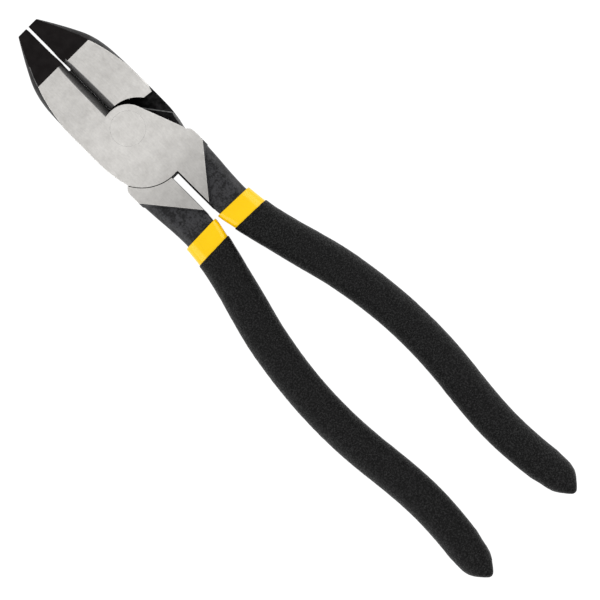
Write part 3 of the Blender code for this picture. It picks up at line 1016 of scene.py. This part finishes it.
def half_slots():
    """The finishes of a half, in the order of their numbers."""
    return [
        ground_steel("ground_steel", 1.0),
        black_oxide("black_oxide", 1.0, 0.26),
        black_paint("nose_paint"),
        blackened_bevel("cutter_bevel"),
        # Painted shade: dead black for the lap's face in the joint's open corner and for the lower slit's
        # bevel and slope
        shaded_recess("shaded_recess"),
        # Lighter grey: bare steel on the gripping faces, and painted highlights on the lap's crease and the
        # nose's edge
        wear_and_highlight("wear_and_highlight"),
        # Painted shade: a copy of the black oxide at three tenths of its brightness and with less gloss, for
        # the jaws' sides and the walls of the joint's open corner
        black_oxide("shaded_oxide", 0.3, 0.08),
    ]


def on_lap_face(centre, normal):
    """Whether a face is on the lap's inner face, with its step and bevel."""
    low = abs(centre.z - MIDDLE - LAP_CLEARANCE) < LAP_STEP_DEPTH + NEAR
    return low and normal.z < -TURNED and centre.y < LAP_FACE_TOP_Y


def on_slit_slope(centre, normal):
    """Whether a face is the bevel beside the lower slit or the slope at its top."""
    beside = abs(centre.x) < SLIT_HALF_WIDTH + SLIT_BEVEL and FACE_END[1][1] < centre.y < slit_end()
    return beside and centre.z > MIDDLE and (normal.y < -TURNED or TURNED < normal.z < LEVEL)


def on_cutter_bevel(centre, normal):
    """Whether a face is a side of the V beside the cutter."""
    (low_x, high_x), (low_y, high_y) = GROOVE_X, GROOVE_Y
    inside = low_x < centre.x < high_x and low_y < centre.y < high_y
    return inside and abs(normal.y) < TURNED and UPRIGHT < abs(normal.z) < LEVEL


def on_gripping_face(centre, normal):
    """Whether a face is on the gripping face or one of its teeth."""
    toothed = abs(centre.z - MIDDLE) < TOOTH_REACH + GRIP_FACE_MARGIN
    inside = centre.x > GRIP_FACE_X and centre.y > TOOTH_START_Y - GRIP_FACE_MARGIN
    return inside and abs(normal.x) > (TURNED if toothed else LEVEL)


def on_highlight_edge(centre, normal):
    """Whether a face is on the rounded edge low on the nose's outer side, where a painted highlight goes."""
    sloping = -normal.x > 0.2 and 0.5 < normal.z < 0.97
    return sloping and centre.z > MIDDLE and centre.y < HIGHLIGHT_END_Y


def on_ground_face(centre, normal):
    """Whether a face is on one of the two ground faces or just over its rounded edge."""
    return abs(centre.z - MIDDLE) > MIDDLE - EDGE_ROUNDING * 0.9 and abs(normal.z) > 0.8


def face_finish(centre, normal):
    """Which finish a face of the front half has, from where it lies and how it faces."""
    # Painted shade: the lap's face in the open corner takes the dead black
    if on_lap_face(centre, normal):
        # Painted highlight: the sloping strip along the lap's crease takes the lighter grey
        crease_highlight = abs(normal.z) < LEVEL and centre.x < -CREASE_X and centre.y < CREASE_TOP_Y
        return WEAR_AND_HIGHLIGHT if crease_highlight else RECESS
    # Painted shade: the bevel and slope in the lower slit take the dead black of the open corner
    if on_slit_slope(centre, normal):
        return RECESS
    if on_cutter_bevel(centre, normal):
        return BEVEL
    if on_gripping_face(centre, normal):
        return WEAR_AND_HIGHLIGHT
    if centre.y > (NOSE_START_IN_FRONT if centre.z > MIDDLE else NOSE_START_BEHIND) - NEAR / 2:
        # Painted highlight: the rounded edge low on the nose's outer side takes the lighter grey
        return WEAR_AND_HIGHLIGHT if on_highlight_edge(centre, normal) else PAINT
    if on_ground_face(centre, normal):
        return GROUND
    # Painted shade: faces of the head beyond the hub on the jaw's side, the jaw's outer side and the open
    # corner's walls, take the darker copy of the oxide
    return SHADED_OXIDE if centre.y > WAIST_Y and centre.x < -HUB_RADIUS else OXIDE


def build_front_half():
    """The left jaw, the front lap and the right handle, as one forging."""
    half = head_blank("front_half_forging")
    low, high = MIDDLE - FAR, MIDDLE + FAR
    cut(half, prism("half_outline", half_outline(), low, high), "INTERSECT")
    cut(half, prism("rear_recess", rear_recess_outline(), low, MIDDLE + LAP_CLEARANCE))
    cut(half, face_end_cutter())
    cut(half, lap_step_cutter())
    cut(half, lap_bevel_cutter())
    cut(half, groove("front_groove", 1, FRONT_GROOVE))
    cut(half, groove("rear_groove", -1, REAR_GROOVE))
    cut(half, handle_bar(), "UNION")
    cut(half, turned("rivet_hole", rivet_profile(RIVET_CLEARANCE, RIVET_OVERRUN)))
    round_edges(half, EDGE_ROUNDING, ROUNDED_ANGLE)
    cut(half, slit_end_slope(), "UNION")
    cut(half, slit_bevel_cutter())
    cut(half, foot_chamfer_cutter())
    cut(half, teeth(True))
    cut(half, teeth(False))
    mesh = half.data
    mesh.materials.clear()
    for finish in half_slots():
        mesh.materials.append(finish)
    for face in mesh.polygons:
        face.material_index = face_finish(face.center, face.normal)
    shade(half, 35)
    return half


def shade(piece, sharpest):
    """Smooth shading that leaves flat faces flat, with sharp edges above an angle in degrees."""
    piece.data.shade_smooth()
    piece.data.set_sharp_from_angle(angle=math.radians(sharpest))
    modifier = piece.modifiers.new("normals", "WEIGHTED_NORMAL")
    modifier.mode = "FACE_AREA"
    modifier.keep_sharp = True
    graph = bpy.context.evaluated_depsgraph_get()
    mesh = bpy.data.meshes.new_from_object(piece.evaluated_get(graph))
    piece.modifiers.clear()
    piece.data = mesh


def turned_over(name, source):
    """A copy turned half a turn about the tool's long axis, in the row frame."""
    mesh = source.data.copy()
    mesh.transform(Matrix.Translation((0, 0, THICKNESS)) @ Matrix.Rotation(math.pi, 4, "Y"))
    return add_object(name, mesh)


def build_dips():
    """The right handle's sleeve and grip."""
    sleeve_layer = (SLEEVE_TOP_Y, SLEEVE_SURFACES, SLEEVE_RIM, SLEEVE_SPACING, COLLAR_STANDOFF)
    sleeve, _ = dip("yellow_sleeve_right", *sleeve_layer)
    sleeve.data.materials.append(yellow_vinyl("yellow_vinyl"))
    sleeve.data.shade_smooth()
    grip, outside = dip("black_grip_right", GRIP_TOP_Y, GRIP_SURFACES, GRIP_RIM, GRIP_SPACING)
    grain(grip.data, GRIP_GRAIN, outside)
    grip.data.materials.append(black_vinyl("black_vinyl"))
    grip.data.shade_smooth()
    return sleeve, grip


def build_rivet():
    rivet = turned("flush_rivet", rivet_profile(0, 0))
    rivet.data.materials.append(ground_steel("rivet_steel", 1.01))
    shade(rivet, 20)
    return rivet


def place(piece, body, node):
    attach(piece, body)
    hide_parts(node)


def build_pliers():
    front_half = build_front_half()
    rear_half = turned_over("rear_half_forging", front_half)
    sleeve, grip = build_dips()
    left_sleeve = turned_over("yellow_sleeve_left", sleeve)
    left_grip = turned_over("black_grip_left", grip)
    rivet = build_rivet()
    place(front_half, "front", "front_half")
    place(rear_half, "rear", "rear_half")
    place(rivet, "rear", "pivot_rivet")
    place(sleeve, "front", "right_yellow_sleeve")
    place(grip, "front", "right_black_grip")
    place(left_sleeve, "rear", "left_yellow_sleeve")
    place(left_grip, "rear", "left_black_grip")


# ---------------------------------------------------------------- stage
def add_floor():
    bm = bmesh.new()
    bmesh.ops.create_grid(bm, x_segments=1, y_segments=1, size=FLOOR_HALF_WIDTH)
    floor = add_mesh("floor", bm)
    floor.data.materials.append(floor_finish("floor_board"))


def add_light(name, position, target, size, radiance):
    """A rectangular soft light that sends out an even radiance."""
    data = bpy.data.lights.new(name, "AREA")
    data.shape = "RECTANGLE"
    data.size, data.size_y = size
    data.energy = radiance * math.pi * size[0] * size[1]
    light = add_object(name, data)
    light.location = position
    direction = Vector(target) - Vector(position)
    light.rotation_euler = direction.to_track_quat("-Z", "Y").to_euler()
    light.visible_camera = False


def add_lights():
    target = (0.0, LOOK_AT.y, 0.0)
    for name, side in (("left_strip", -1), ("right_strip", 1)):
        position = (side * LIGHT_SIDE, LOOK_AT.y, LIGHT_HEIGHT)
        add_light(name, position, target, LIGHT_SIZE, LIGHT_RADIANCE)
    world = bpy.data.worlds.new("studio")
    world.use_nodes = True
    background = world.node_tree.nodes["Background"]
    background.inputs["Color"].default_value = (1.0, 1.0, 1.0, 1.0)
    background.inputs["Strength"].default_value = WORLD_STRENGTH
    bpy.context.scene.world = world


def add_camera():
    data = bpy.data.cameras.new("camera")
    data.sensor_width = SENSOR_WIDTH
    data.lens = SENSOR_WIDTH * CAMERA_DISTANCE / VIEW_WIDTH
    data.clip_end = 20.0
    camera = add_object("camera", data)
    back = Vector((-math.sin(CAMERA_TILT), 0.0, math.cos(CAMERA_TILT)))
    camera.location = LOOK_AT + back * CAMERA_DISTANCE
    up = Vector((-math.sin(CAMERA_ROLL), math.cos(CAMERA_ROLL), 0.0))
    right = up.cross(back).normalized()
    up = back.cross(right)
    turn = Matrix((right, up, back)).transposed().to_4x4()
    camera.matrix_world = Matrix.Translation(camera.location) @ turn
    bpy.context.scene.camera = camera


build_pliers()
add_floor()
add_lights()
add_camera()
bpy.context.scene.view_settings.view_transform = "Standard"
